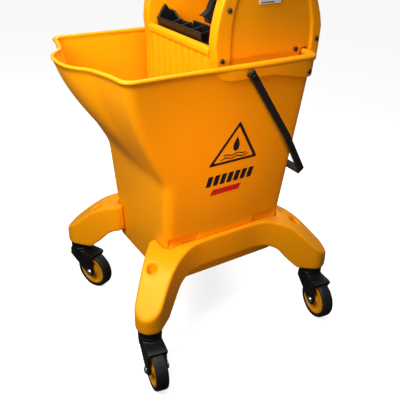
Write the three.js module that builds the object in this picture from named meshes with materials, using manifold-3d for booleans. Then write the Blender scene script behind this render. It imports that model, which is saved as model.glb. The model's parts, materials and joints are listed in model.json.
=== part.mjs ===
// Wheeled mop bucket with a lever-operated press wringer.
// Millimetres, +Z up. X is the width (+X is the lever side), -Y is the pouring end, +Y is the wringer end.
// The origin is on the floor, under the centre of the object's box.
import * as THREE from "three";
import { mergeVertices } from "three/addons/utils/BufferGeometryUtils.js";
import Module from "manifold-3d";

const wasm = await Module();
wasm.setup();

// ---- driving dimensions ----
const GAP = 0.3;                 // clearance between pieces that touch
const BOX_CENTRE_Y = -20.4;      // middle of the object's depth, in the frame of the castor rectangle

const BUCKET = {
  wall: 3.2, baseZ: 122, waistZ: 320, rimZ: 505, taperStartZ: 201,
  baseHalfX: 99.5, rimHalfX: 139.5, baseFrontY: -113, waistFrontY: -122, rimFrontY: -197,
  baseRearY: 124, rimRearY: 130, lobeDepth: 26, veeDepth: 15, corner: 16, bottomRound: 10,
  lip: 2.6, lipDrop: 7,
};
const SKIRT = { frontY: -50, depth: 24, rearDepth: 37, stand: 5.5, screwY: 116, screwZ: 478, boreX: 134.5 };
const SCREW = { shankRadius: 2, boreRadius: 2.6, headRadius: 3.8, headHeight: 2, length: 12 };
const LEG = {
  axisX: 150, axisY: 175, endZ: 98, endRadius: 24, ledgeZ: 201, archZ: 147, railX: 111,
  rootX: 64, rootFrontY: -129, rootRearY: 141, spreadDeg: 39.5, recessRadius: 8, boreRadius: 6.4,
};
const CASTOR = {
  wheelRadius: 37.5, hubRadius: 29.7, tyreInner: 30, width: 22, trail: 33, housingRadius: 19.5,
  housingTop: 97.4, housingBottom: 66, hoodRadius: 42.5, wheelRoom: 39.3, slotWidth: 24.4,
  forkWidth: 33, boltRadius: 4, boltLength: 41, stemRadius: 5.6, stemFoot: 84, stemTop: 128,
};
const CASTORS = [
  { name: "front_right", x: 1, y: -1, swivelDeg: -10.5 },
  { name: "front_left", x: -1, y: -1, swivelDeg: 23.4 },
  { name: "rear_right", x: 1, y: 1, swivelDeg: -8.1 },
  { name: "rear_left", x: -1, y: 1, swivelDeg: 188.1 },
];
const BAIL = {
  pivotX: 155, pivotY: -2, pivotZ: 489, barX: 131, barY: 136, barZ: 296, width: 11, thick: 4.5,
  pinRadius: 3,
};
const PANEL = { innerX: 94, outerX: 113, recess: 3.6 };
const NOTCH = { frontY: 125, rearY: 137, topZ: 505.7 };     // where the side frames sit on the rear rim
const SHAFT = { y: 55, z: 648, radius: 8, endX: 120 };
const LEVER = {
  leanDeg: 20, reach: 300, tubeRadius: 11, bossInnerX: 124, bossOuterX: 150, bossRadius: 24, boltZ: 60,
};
const JAW = {
  y: 10, z: 372, halfX: 87, leanDeg: 10, thick: 7, barrel: 9, plateTop: 146, floorThick: 6,
  channelTop: 172, forkTop: 194,
};
const FORK = { innerX: 76, outerX: 87, slotCentre: 10.7, slotHalf: 8.7, prong: 4.5, floor: 154 };
const ARM = { x: 60, tipY: -10, tipZ: 552, width: 12, rollerRadius: 6 };
const SPRING = { startX: -88.4, pitch: 3.6, turns: 5, coilRadius: 13.5, wireRadius: 1.4 };
const BACK_PLATE = { footY: 48, footZ: 362, leanDeg: 24.6, length: 196, thick: 5 };

const COLOUR = {
  yellow: 0xf5a300, black: 0x17171a, rubber: 0x1d1e20, disc: 0xf0930c, steel: 0xb9bcc0, label: 0xe8e8ea,
};

// ---- small tools ----
const deg = THREE.MathUtils.degToRad;
const mix = THREE.MathUtils.lerp;
const smooth = (value, low, high) => THREE.MathUtils.smoothstep(value, low, high);

function material(colour, roughness, metalness = 0) {
  return new THREE.MeshStandardMaterial({ color: colour, roughness, metalness });
}
const plastic = () => material(COLOUR.yellow, 0.35);
const blackPlastic = () => material(COLOUR.black, 0.5);
const steel = () => material(COLOUR.steel, 0.3, 1);

const model = new THREE.Group();
model.position.y = -BOX_CENTRE_Y;

function addMesh(name, geometry, finish, parent = model) {
  const mesh = new THREE.Mesh(geometry, finish);
  mesh.name = name;
  parent.add(mesh);
  return mesh;
}

function toSolid(geometry) {
  const bare = geometry.clone();
  bare.deleteAttribute("normal");
  bare.deleteAttribute("uv");
  const merged = mergeVertices(bare, 1e-4);
  const vertProperties = new Float32Array(merged.attributes.position.array);
  const triVerts = new Uint32Array(merged.index.array);
  return new wasm.Manifold(new wasm.Mesh({ numProp: 3, vertProperties, triVerts }));
}

function toGeometry(solid) {
  const { vertProperties, triVerts } = solid.getMesh();
  const geometry = new THREE.BufferGeometry();
  geometry.setAttribute("position", new THREE.BufferAttribute(new Float32Array(vertProperties), 3));
  geometry.setIndex(new THREE.BufferAttribute(new Uint32Array(triVerts), 1));
  return geometry;
}

function joined(...geometries) {
  return toGeometry(geometries.map(toSolid).reduce((all, next) => all.add(next)));
}

function cutBy(geometry, ...cutters) {
  return toGeometry(cutters.map(toSolid).reduce((rest, next) => rest.subtract(next), toSolid(geometry)));
}

function common(first, second) {
  return toGeometry(toSolid(first).intersect(toSolid(second)));
}

function polygon(points) {
  return new THREE.Shape(points.map(([x, y]) => new THREE.Vector2(x, y)));
}

// A box given by its lowest and highest corners.
function block(x0, x1, y0, y1, z0, z1) {
  const geometry = new THREE.BoxGeometry(x1 - x0, y1 - y0, z1 - z0);
  return geometry.translate((x0 + x1) / 2, (y0 + y1) / 2, (z0 + z1) / 2);
}

function rodX(radius, x0, x1, y, z, sides = 20) {
  const geometry = new THREE.CylinderGeometry(radius, radius, x1 - x0, sides);
  return geometry.rotateZ(Math.PI / 2).translate((x0 + x1) / 2, y, z);
}

function rodZ(radius, z0, z1, x = 0, y = 0, sides = 24) {
  const geometry = new THREE.CylinderGeometry(radius, radius, z1 - z0, sides);
  return geometry.rotateX(Math.PI / 2).translate(x, y, (z0 + z1) / 2);
}

function extrudeUp(shape, z0, z1, curveSegments = 10) {
  const settings = { depth: z1 - z0, bevelEnabled: false, curveSegments };
  return new THREE.ExtrudeGeometry(shape, settings).translate(0, 0, z0);
}

// Extrudes a (y, z) outline along X.
function extrudeAcross(shape, x0, x1, curveSegments = 10) {
  const settings = { depth: x1 - x0, bevelEnabled: false, curveSegments };
  const geometry = new THREE.ExtrudeGeometry(shape, settings);
  const axes = new THREE.Matrix4().makeBasis(
    new THREE.Vector3(0, 1, 0), new THREE.Vector3(0, 0, 1), new THREE.Vector3(1, 0, 0));
  return geometry.applyMatrix4(axes).translate(x0, 0, 0);
}

// A closed body through rings of equal length; the first and last rings are capped.
function loft(rings) {
  const count = rings[0].length;
  const positions = rings.flat().flatMap((point) => [point.x, point.y, point.z]);
  const indices = [];
  for (let ring = 0; ring + 1 < rings.length; ring += 1) {
    for (let place = 0; place < count; place += 1) {
      const next = (place + 1) % count;
      const a = ring * count + place;
      const b = ring * count + next;
      indices.push(a, b, b + count, a, b + count, a + count);
    }
  }
  const caps = [[0, true], [rings.length - 1, false]];
  for (const [ring, flip] of caps) {
    const outline = rings[ring].map((point) => new THREE.Vector2(point.x, point.y));
    for (const [a, b, c] of THREE.ShapeUtils.triangulateShape(outline, [])) {
      const face = [a, b, c].map((place) => place + ring * count);
      indices.push(...(flip ? face.reverse() : face));
    }
  }
  const geometry = new THREE.BufferGeometry();
  geometry.setAttribute("position", new THREE.Float32BufferAttribute(positions, 3));
  geometry.setIndex(indices);
  return geometry;
}

// ---- bucket ----
// Fractions of a half outline, from the middle of the front round one side to the middle of the rear.
const LOBE_HALF = 60;
const LOBE_STATIONS = [0, 0.2, 0.4, 0.56, 0.7, 0.84, 0.93, 1];
const VEE_STATIONS = [0.25, 0.6];
const FLARE_TURN = Math.PI * 0.42;   // how far the front wall's flare turns back towards upright

function bucketHalfX(z) {
  const slope = (BUCKET.rimHalfX - BUCKET.baseHalfX) / (BUCKET.rimZ - BUCKET.taperStartZ);
  return BUCKET.baseHalfX + Math.max(z - BUCKET.taperStartZ, 0) * slope;
}

function bucketFrontY(z) {
  if (z <= BUCKET.waistZ) {
    const share = Math.max(z - BUCKET.baseZ, 0) / (BUCKET.waistZ - BUCKET.baseZ);
    return mix(BUCKET.baseFrontY, BUCKET.waistFrontY, share);
  }
  const share = (z - BUCKET.waistZ) / (BUCKET.rimZ - BUCKET.waistZ);
  const bulge = Math.sin(share * FLARE_TURN) / Math.sin(FLARE_TURN);
  return mix(BUCKET.waistFrontY, BUCKET.rimFrontY, bulge);
}

// Plan outline of the bucket at a level, moved inwards by inset.
function bucketRing(z, inset, ringZ = z) {
  const halfX = bucketHalfX(z) - inset;
  const frontY = bucketFrontY(z) + inset;
  const rearY = mix(BUCKET.baseRearY, BUCKET.rimRearY, smooth(z, BUCKET.baseZ, BUCKET.rimZ)) - inset;
  const flare = smooth(z, BUCKET.waistZ - 20, BUCKET.rimZ + 20);
  const { corner } = BUCKET;
  const half = [];
  for (const share of LOBE_STATIONS) {
    const swell = BUCKET.lobeDepth * Math.cos((Math.PI / 2) * share ** 1.53);
    half.push([LOBE_HALF * share, frontY - flare * (BUCKET.veeDepth + swell)]);
  }
  for (const share of VEE_STATIONS) {
    const vee = flare * BUCKET.veeDepth * (1 - share) ** 1.5;
    half.push([mix(LOBE_HALF, halfX - corner, share), frontY - vee]);
  }
  for (let step = 0; step <= 4; step += 1) {
    const turn = (step / 4) * Math.PI / 2;
    half.push([halfX - corner + corner * Math.sin(turn), frontY + corner - corner * Math.cos(turn)]);
  }
  half.push([halfX, mix(frontY, rearY, 0.4)], [halfX, mix(frontY, rearY, 0.7)]);
  for (let step = 0; step <= 4; step += 1) {
    const turn = (step / 4) * Math.PI / 2;
    half.push([halfX - corner + corner * Math.cos(turn), rearY - corner + corner * Math.sin(turn)]);
  }
  half.push([halfX * 0.45, rearY], [0, rearY]);
  const mirrored = half.slice(1, -1).reverse().map(([x, y]) => [-x, y]);
  return [...half, ...mirrored].map(([x, y]) => new THREE.Vector3(x, y, ringZ));
}

const WALL_LEVELS = [201, 300, 325, 360, 410, 460];

// Rings up the outside of the bucket, rounded where the walls meet the base.
function bucketOuterRings(inset) {
  const rings = [];
  for (let step = 0; step < 4; step += 1) {
    const turn = (step / 4) * Math.PI / 2;
    const pull = BUCKET.bottomRound * (1 - Math.sin(turn));
    const rise = BUCKET.bottomRound * (1 - Math.cos(turn));
    rings.push(bucketRing(BUCKET.baseZ + rise, inset + pull));
  }
  rings.push(bucketRing(BUCKET.baseZ + BUCKET.bottomRound, inset));
  rings.push(...WALL_LEVELS.map((z) => bucketRing(z, inset)));
  return rings;
}

function bucketShell() {
  const { wall, rimZ, lip, lipDrop, baseZ, bottomRound } = BUCKET;
  const rings = bucketOuterRings(0);
  rings.push(bucketRing(rimZ - lipDrop, 0));
  rings.push(bucketRing(rimZ, -lip, rimZ - lipDrop));
  rings.push(bucketRing(rimZ, -lip, rimZ - 1.5));
  rings.push(bucketRing(rimZ, -lip + 1.5, rimZ));
  rings.push(bucketRing(rimZ, wall - 1, rimZ));
  rings.push(bucketRing(rimZ, wall, rimZ - 1.5));
  const inner = WALL_LEVELS.slice().reverse();
  rings.push(...inner.map((z) => bucketRing(z, wall)));
  rings.push(bucketRing(baseZ + bottomRound, wall, baseZ + bottomRound));
  rings.push(bucketRing(baseZ + wall, wall + bottomRound * 0.7, baseZ + wall));
  return loft(rings);
}

// The solid form of the bucket grown by the clearance, which the leg frames are cut by.
function bucketEnvelope() {
  const rings = bucketOuterRings(-GAP);
  rings[0].forEach((point) => { point.z -= GAP; });
  return loft(rings);
}

// A strip round the outside of the rim, from ahead of the bail pivots round the rear, deeper at the rear.
function skirtBand() {
  const { rimZ } = BUCKET;
  const top = rimZ - 2;
  const foot = rimZ - SKIRT.rearDepth;
  const band = loft([bucketRing(foot, -SKIRT.stand), bucketRing(rimZ - 12, -SKIRT.stand + 1),
    bucketRing(rimZ, -BUCKET.lip, top)]);
  const core = loft([bucketRing(foot - 5, 1.6), bucketRing(rimZ, 1.6, rimZ + 5)]);
  const keep = polygon([[SKIRT.frontY, rimZ - SKIRT.depth], [45, rimZ - SKIRT.depth], [105, foot],
    [200, foot], [200, rimZ], [SKIRT.frontY, rimZ]]);
  return common(cutBy(band, core), extrudeAcross(keep, -200, 200));
}

function bucket() {
  const { boreX, screwY, screwZ } = SKIRT;
  const bores = [-1, 1].map((side) => {
    const [x0, x1] = side > 0 ? [boreX, 200] : [-200, -boreX];
    return rodX(SCREW.boreRadius, x0, x1, screwY, screwZ, 10);
  });
  return cutBy(joined(bucketShell(), skirtBand()), ...bores);
}

// A pan-head screw along X, with its head's seat at a distance from the middle plane.
function panScrew(side, seatX, length, y, z) {
  const shank = rodX(SCREW.shankRadius, seatX - length, seatX + 1, y, z, 8);
  const head = rodX(SCREW.headRadius, seatX, seatX + SCREW.headHeight, y, z, 12);
  const screw = toSolid(joined(shank, head));
  return toGeometry(side > 0 ? screw : screw.mirror([1, 0, 0]));
}

function skirtScrew(side) {
  const { boreX, screwY, screwZ, stand } = SKIRT;
  const seatX = bucketHalfX(screwZ) + stand + GAP;
  return panScrew(side, seatX, seatX - boreX - GAP, screwY, screwZ);
}

// ---- leg frames ----
function smoothCurve(shape, points) {
  shape.splineThru(points.map(([x, y]) => new THREE.Vector2(x, y)));
}

// Where a straight line from a point touches a circle, as the angle of the circle's radius there.
function tangentAngle(point, centre, radius, side) {
  const dx = point[0] - centre[0];
  const dy = point[1] - centre[1];
  return Math.atan2(dy, dx) + side * Math.acos(radius / Math.hypot(dx, dy));
}

// Plan outline of the +X frame: two legs spread to the castors, and the rail between them.
function legPlan() {
  const { axisX, axisY, endRadius, railX, rootX, rootFrontY, rootRearY } = LEG;
  const turn = deg(LEG.spreadDeg);
  const sideX = axisX + endRadius * Math.cos(turn);
  const sideY = axisY - endRadius * Math.sin(turn);
  const inX = 45 * Math.sin(turn);
  const inY = 45 * Math.cos(turn);
  const frontStart = tangentAngle([rootX, rootFrontY], [axisX, -axisY], endRadius, 1);
  const rearEnd = tangentAngle([rootX, rootRearY], [axisX, axisY], endRadius, -1);
  const shape = new THREE.Shape();
  shape.absarc(axisX, -axisY, endRadius, frontStart, turn + 2 * Math.PI, false);
  shape.bezierCurveTo(sideX - inX, -sideY + inY, railX, -86, railX, -40);
  shape.lineTo(railX, 52);
  shape.bezierCurveTo(railX, 94, sideX - inX, sideY - inY, sideX, sideY);
  shape.absarc(axisX, axisY, endRadius, -turn, rearEnd, false);
  shape.lineTo(rootX, rootRearY);
  shape.lineTo(rootX, 100);
  shape.lineTo(88, 84);
  shape.lineTo(88, -76);
  shape.lineTo(rootX, -92);
  shape.lineTo(rootX, rootFrontY);
  shape.closePath();
  return shape;
}

// Side view of one leg along its own direction: a level ledge by the bucket, a crown that curves
// down to the castor, and the arch beneath.
function legProfile() {
  const { ledgeZ, archZ, endZ } = LEG;
  const shape = new THREE.Shape();
  shape.moveTo(-160, ledgeZ);
  shape.lineTo(-160, archZ);
  shape.lineTo(138, archZ);
  smoothCurve(shape, [[160, 138], [180, 117], [202, endZ]]);
  shape.lineTo(260, endZ);
  shape.lineTo(260, 121);
  smoothCurve(shape, [[237, 143], [199, 175], [172, 191], [136, ledgeZ]]);
  shape.closePath();
  return shape;
}

function legFrame(envelope, side) {
  const { axisX, axisY, endZ, ledgeZ, recessRadius, boreRadius, spreadDeg } = LEG;
  const plan = extrudeUp(legPlan(), 60, 230, 9);
  const halves = [-1, 1].map((end) => {
    const along = extrudeAcross(legProfile(), -200, 200, 4);
    along.rotateZ(end > 0 ? -deg(spreadDeg) : deg(spreadDeg) - Math.PI);
    const reach = end > 0 ? block(50, 200, 0, 220, 50, 240) : block(50, 200, -220, 0, 50, 240);
    return common(common(plan, along), reach);
  });
  const cutters = [envelope];
  for (const end of [-1, 1]) {
    cutters.push(rodZ(recessRadius, ledgeZ - 36, ledgeZ + 20, 113, end * 150, 12));
    cutters.push(rodZ(boreRadius, endZ - 5, CASTOR.stemTop + 1, axisX, end * axisY, 12));
  }
  const frame = toSolid(cutBy(joined(...halves), ...cutters));
  return toGeometry(side > 0 ? frame : frame.mirror([1, 0, 0]));
}

// ---- castors ----
// In a castor's own frame the stem is the Z axis and the wheel trails along +X, with its axle along Y.
function wheelPart(profile, segments) {
  const points = profile.map(([radius, y]) => new THREE.Vector2(radius, y));
  points.push(points[0].clone());
  const geometry = new THREE.LatheGeometry(points, segments, Math.PI / segments);
  return geometry.translate(CASTOR.trail, 0, CASTOR.wheelRadius);
}

function tyre() {
  const segments = 28;
  const half = CASTOR.width / 2;
  const outer = CASTOR.wheelRadius / Math.cos(Math.PI / segments);
  const inner = CASTOR.tyreInner / Math.cos(Math.PI / segments);
  return wheelPart([[inner, -half + 1], [outer - 3, -half], [outer, -half + 4], [outer, half - 4],
    [outer - 3, half], [inner, half - 1]], segments);
}

function wheelCore() {
  const half = CASTOR.width / 2 - 1;
  const { hubRadius: rim, boltRadius } = CASTOR;
  const outside = [[rim, half], [rim - 4, half + 0.4], [rim - 5, half - 4], [10, half - 4],
    [9, half + 0.4], [boltRadius + 0.7, half + 0.4]];
  const inside = outside.map(([radius, y]) => [radius, -y]).reverse();
  return wheelPart([...inside, ...outside], 22);
}

function axleRod(radius, y0, y1, sides) {
  const geometry = new THREE.CylinderGeometry(radius, radius, y1 - y0, sides);
  return geometry.translate(CASTOR.trail, (y0 + y1) / 2, CASTOR.wheelRadius);
}

function axleBolt() {
  const half = CASTOR.boltLength / 2;
  const seat = CASTOR.forkWidth / 2 + 1.3;
  return joined(axleRod(CASTOR.boltRadius, -seat - 1, half, 12), axleRod(6.6, -half, -seat, 6),
    axleRod(6.6, seat, half - 1, 6));
}

// Side outline of the fork: cheeks from the swivel housing down to the axle, and a hood over the tyre.
function forkOutline() {
  const { trail, wheelRadius, housingRadius, housingBottom, hoodRadius } = CASTOR;
  const shape = new THREE.Shape();
  shape.moveTo(-housingRadius + 4, housingBottom + 14);
  shape.lineTo(-housingRadius + 2, housingBottom - 2);
  shape.lineTo(trail - 10, wheelRadius - 5);
  shape.absarc(trail, wheelRadius, 10.5, -2.6, 0.1, false);
  shape.lineTo(trail + 6, wheelRadius + 28);
  shape.lineTo(trail + 11, wheelRadius + 37);
  shape.absarc(trail, wheelRadius, hoodRadius, Math.acos(12 / hoodRadius), 1.75, false);
  shape.closePath();
  return shape;
}

function fork() {
  const { forkWidth, housingRadius, housingTop, housingBottom, stemRadius, trail, wheelRadius } = CASTOR;
  const settings = { depth: forkWidth, bevelEnabled: false, curveSegments: 6 };
  const cheeks = new THREE.ExtrudeGeometry(forkOutline(), settings);
  cheeks.rotateX(Math.PI / 2).translate(0, forkWidth / 2, 0);
  const housing = rodZ(housingRadius, housingBottom, housingTop, 0, 0, 20);
  const room = axleRod(CASTOR.wheelRoom, -CASTOR.slotWidth / 2, CASTOR.slotWidth / 2, 20);
  const slotHalf = CASTOR.slotWidth / 2;
  const slot = block(trail - 20, trail + 60, -slotHalf, slotHalf, -5, wheelRadius);
  const bolt = axleRod(CASTOR.boltRadius + 0.5, -40, 40, 12);
  const bore = rodZ(stemRadius + 0.8, CASTOR.stemFoot - 1, housingTop + 5, 0, 0, 12);
  const bosses = [-1, 1].map((side) => {
    const face = side * forkWidth / 2;
    return axleRod(8.5, face - 1, face + 1, 12);
  });
  return cutBy(joined(cheeks, housing, ...bosses), room, slot, bolt, bore);
}

function stem() {
  return rodZ(CASTOR.stemRadius, CASTOR.stemFoot, CASTOR.stemTop, 0, 0, 12);
}

function addCastor({ name, x, y, swivelDeg }) {
  const castor = new THREE.Group();
  castor.position.set(x * LEG.axisX, y * LEG.axisY, 0);
  castor.rotation.z = deg(swivelDeg);
  model.add(castor);
  addMesh(`castor_${name}_stem`, stem(), steel(), castor);
  addMesh(`castor_${name}_fork`, fork(), blackPlastic(), castor);
  addMesh(`castor_${name}_axle_bolt`, axleBolt(), steel(), castor);
  addMesh(`castor_${name}_wheel_core`, wheelCore(), material(COLOUR.disc, 0.45), castor);
  addMesh(`castor_${name}_tyre`, tyre(), material(COLOUR.rubber, 0.6), castor);
}

// ---- bail handle ----
// Built hanging straight down from its pivots, then swung back to rest behind the bucket.
const bailReach = Math.hypot(BAIL.barY - BAIL.pivotY, BAIL.pivotZ - BAIL.barZ);
const bailTurn = Math.atan2(BAIL.barY - BAIL.pivotY, BAIL.pivotZ - BAIL.barZ);

function placeBail(geometry) {
  return geometry.rotateX(bailTurn).translate(0, BAIL.pivotY, BAIL.pivotZ);
}

function bail() {
  const { pivotX, barX, width, thick, pinRadius } = BAIL;
  const half = thick / 2;
  const outer = [[pivotX + half, 9], [pivotX + half - 3, -0.55 * bailReach],
    [barX + half + 3, -bailReach + 7], [barX - 4, -bailReach - 4]];
  const inner = [[barX - 8, -bailReach + 4], [barX - half + 1, -bailReach + 11],
    [pivotX - half - 3, -0.55 * bailReach], [pivotX - half, 9]];
  const mirrored = (points) => points.map(([x, z]) => [-x, z]).reverse();
  const outline = polygon([...outer, ...mirrored(outer), ...mirrored(inner), ...inner]);
  const geometry = new THREE.ExtrudeGeometry(outline, { depth: width, bevelEnabled: false });
  geometry.rotateX(Math.PI / 2).translate(0, width / 2, 0);
  const holes = [-1, 1].map((side) => rodX(pinRadius + 0.4, side * pivotX - 8, side * pivotX + 8, 0, 0, 12));
  return placeBail(cutBy(geometry, ...holes));
}

function bailGrip() {
  const sleeve = rodX(8, -58, 58, 0, -bailReach, 16);
  const half = BAIL.width / 2 + GAP;
  const room = block(-60, 60, -half, half, -bailReach - 4 - GAP, -bailReach + 4 + GAP);
  return placeBail(cutBy(sleeve, room));
}

// A headed pin through the end of the bail, standing on a boss on the bucket's skirt.
function bailPin(side) {
  const { pivotX, pivotY, pivotZ, thick, pinRadius } = BAIL;
  const skirtX = bucketHalfX(pivotZ) + SKIRT.stand + 0.6;
  const armIn = pivotX - thick / 2 - 0.4;
  const armOut = pivotX + thick / 2 + 0.4;
  const boss = rodX(pinRadius + 0.9, skirtX, armIn, pivotY, pivotZ, 16);
  const shank = rodX(pinRadius, skirtX, armOut + 0.5, pivotY, pivotZ, 12);
  const head = rodX(pinRadius + 0.9, armOut, armOut + 0.9, pivotY, pivotZ, 16);
  const pin = toSolid(joined(boss, shank, head));
  return toGeometry(side > 0 ? pin : pin.mirror([1, 0, 0]));
}

// ---- wringer housing ----
// Outline of a side frame as (y, z): foot inside the bucket, hook over the rear rim, rounded crown.
function sideOutline() {
  const shape = new THREE.Shape();
  shape.moveTo(-37, 352);
  shape.lineTo(-37, 490);
  smoothCurve(shape, [[-42, 530], [-37, 565], [-25, 600], [-2, 641], [28, 672], [60, 684], [92, 676],
    [120, 642], [140, 588], [153, 556], [158, 536]]);
  shape.lineTo(156, 484);
  shape.lineTo(NOTCH.rearY, 484);
  shape.lineTo(NOTCH.rearY, NOTCH.topZ);
  shape.lineTo(NOTCH.frontY, NOTCH.topZ);
  shape.lineTo(118, 480);
  shape.lineTo(66, 352);
  shape.closePath();
  return shape;
}

function recessOutline() {
  const shape = new THREE.Shape();
  shape.moveTo(-14, 470);
  shape.lineTo(-14, 520);
  smoothCurve(shape, [[-12, 560], [-2, 596], [22, 634], [58, 656], [92, 648], [113, 616],
    [128, 578], [137, 550]]);
  shape.lineTo(140, 524);
  shape.lineTo(140, 470);
  shape.closePath();
  return shape;
}

// The panel screws' places as (y, z), with how far each one's seat lies below the raised border.
const SCREWS = [[-20, 574, 0], [-29, 504, 0], [150, 519, 0], [112, 506, PANEL.recess]];

function sideFrame(side) {
  const { innerX, outerX, recess } = PANEL;
  const body = extrudeAcross(sideOutline(), innerX, outerX, 2);
  const pocket = extrudeAcross(recessOutline(), outerX - recess, outerX + 5, 2);
  const shaftBore = rodX(12.4, innerX - 5, outerX + 5, SHAFT.y, SHAFT.z, 20);
  const rodBore = rodX(5, innerX - 5, outerX + 5, JAW.y, JAW.z, 12);
  const screwBores = SCREWS.map(([y, z]) => {
    return rodX(SCREW.boreRadius, outerX - SCREW.length - 5, outerX + 5, y, z, 10);
  });
  const frame = toSolid(cutBy(body, pocket, shaftBore, rodBore, ...screwBores));
  return toGeometry(side > 0 ? frame : frame.mirror([1, 0, 0]));
}

// The front plate: a rolled top bar over a plate with upright flutes.
function frontPlate() {
  const halfX = PANEL.innerX - GAP;
  const pieces = [block(-halfX, halfX, -36, -31, 357, 512), block(-halfX, halfX, -40, -29, 508, 520)];
  const pitch = 20;
  for (let place = -4; place <= 4; place += 1) {
    pieces.push(block(place * pitch - 4.5, place * pitch + 4.5, -39, -33, 360, 510));
  }
  return joined(...pieces);
}

// Through slots in rows, for the pieces that water drains through.
function slotGrid(halfX, columns, rows, cut) {
  const cutters = [];
  for (let column = 0; column < columns; column += 1) {
    const x = mix(-halfX, halfX, (column + 0.5) / columns);
    for (const [low, high] of rows) {
      cutters.push(cut(x - 5, x + 5, low, high));
    }
  }
  return cutters;
}

function drainGrate() {
  const halfX = PANEL.innerX - GAP;
  const plate = block(-halfX, halfX, -30, 46, 353, 357);
  const rows = [[-24, 2], [12, 38]];
  const slots = slotGrid(halfX - 6, 8, rows, (x0, x1, y0, y1) => block(x0, x1, y0, y1, 340, 370));
  return cutBy(plate, ...slots);
}

function backPlate() {
  const halfX = PANEL.innerX - GAP;
  const { footY, footZ, leanDeg, length, thick } = BACK_PLATE;
  const plate = block(-halfX, halfX, 0, thick, 0, length);
  const rows = [[16, 60], [72, 116], [128, 172]];
  const slots = slotGrid(halfX - 6, 7, rows, (x0, x1, z0, z1) => block(x0, x1, -10, 20, z0, z1));
  return cutBy(plate, ...slots).rotateX(-deg(leanDeg)).translate(0, footY, footZ);
}

// The curved cover that closes the rear and the crown between the side frames.
function rearCover() {
  const halfX = PANEL.innerX - GAP;
  const outer = [[152, 545], [139, 580], [118, 634], [92, 669], [68, 678]];
  const inner = [[68, 673], [89, 665], [114, 631], [135, 578], [147, 545]];
  return extrudeAcross(polygon([...outer, ...inner]), -halfX, halfX);
}

function labelPlate() {
  const x = PANEL.outerX - PANEL.recess + GAP;
  return block(x, x + 0.8, 33, 73, 578, 604);
}

// ---- press ----
// The jaw is built upright over its hinge at the origin, then leaned forward to its open rest.
function placeJaw(geometry) {
  return geometry.rotateX(deg(JAW.leanDeg)).translate(0, JAW.y, JAW.z);
}

// The open fork at the lever side that the press pin works in.
function jawFork() {
  const { innerX, outerX, slotCentre, slotHalf, prong, floor } = FORK;
  const shape = new THREE.Shape();
  const front = slotCentre - slotHalf - prong;
  const rear = slotCentre + slotHalf + prong;
  shape.moveTo(front, floor - 10);
  shape.lineTo(front, JAW.forkTop);
  shape.lineTo(front + prong, JAW.forkTop);
  shape.lineTo(front + prong, floor);
  shape.lineTo(rear - prong, floor);
  shape.lineTo(rear - prong, JAW.forkTop - 14);
  shape.lineTo(rear, JAW.forkTop - 16);
  shape.lineTo(rear, floor - 6);
  shape.closePath();
  return extrudeAcross(shape, innerX, outerX);
}

// The peaked ear that closes the trough's far end.
function jawEar() {
  const { halfX, plateTop } = JAW;
  const foot = plateTop - 4;
  return extrudeAcross(polygon([[-10, foot], [22, foot], [29, 151], [23, 167], [14, 169], [11, 177],
    [8.6, 181.5], [4, 179], [-6, 168], [-11, 163]]), -halfX, -halfX + 5);
}

// The trough's rear wall as (x, z): high by the ear, low behind the middle, stepped up to the fork.
function jawRearWall(rear) {
  const { halfX, plateTop, floorThick } = JAW;
  const foot = plateTop - floorThick;
  const outline = polygon([[-halfX, foot], [halfX, foot], [halfX, 165], [-11, 165], [-11, 158.5],
    [-56, 158.5], [-71, 170], [-halfX, 170]]);
  const wall = new THREE.ExtrudeGeometry(outline, { depth: 4, bevelEnabled: false });
  return wall.rotateX(Math.PI / 2).translate(0, rear, 0);
}

// The slotted plate that squeezes the mop, with its hinge barrel along the foot.
function pressJaw() {
  const { halfX, thick, barrel, plateTop } = JAW;
  const half = thick / 2;
  const rows = [[24, 60], [72, 108]];
  const slots = slotGrid(halfX - 4, 7, rows, (x0, x1, z0, z1) => block(x0, x1, -20, 20, z0, z1));
  const top = plateTop - JAW.floorThick - GAP;
  const plate = cutBy(block(-halfX, halfX, -half, half, barrel - 3, top), ...slots);
  const rodRoom = rodX(4.8, -halfX - 5, halfX + 5, 0, 0, 12);
  return placeJaw(cutBy(joined(plate, rodX(barrel, -halfX, halfX, 0, 0, 16)), rodRoom));
}

// The ribbed trough along the jaw's top, open where the arm and its pin swing through it.
function jawChannel() {
  const { halfX, thick, plateTop, floorThick, channelTop } = JAW;
  const { innerX, outerX, slotCentre, slotHalf, floor } = FORK;
  const slotFront = slotCentre - slotHalf;
  const slotRear = slotCentre + slotHalf;
  const front = -thick / 2 - 7;
  const rear = thick / 2 + 15;
  const foot = plateTop - floorThick;
  const pieces = [block(-halfX, halfX, front, rear, foot, plateTop)];
  pieces.push(block(-halfX, halfX, front, front + 4, foot, channelTop - 8));
  for (const x of [-46, -16, 16, 46]) {
    pieces.push(block(x - 1.5, x + 1.5, front + 1, rear - 3, plateTop - 4, channelTop - 10));
  }
  pieces.push(jawRearWall(rear), jawFork(), jawEar());
  const armRoom = block(ARM.x - 9, innerX, -30, 30, plateTop + 4, channelTop);
  const pinRoom = block(innerX - 1, outerX + 1, slotFront, slotRear, floor, JAW.forkTop + 1);
  return placeJaw(cutBy(joined(...pieces), armRoom, pinRoom));
}

function hingeRod() {
  return rodX(4, -PANEL.outerX - 2, PANEL.outerX + 2, JAW.y, JAW.z, 12);
}

function driveShaft() {
  const { y, z, radius, endX } = SHAFT;
  return rodX(radius, -endX, LEVER.bossOuterX - 4, y, z, 16);
}

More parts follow.
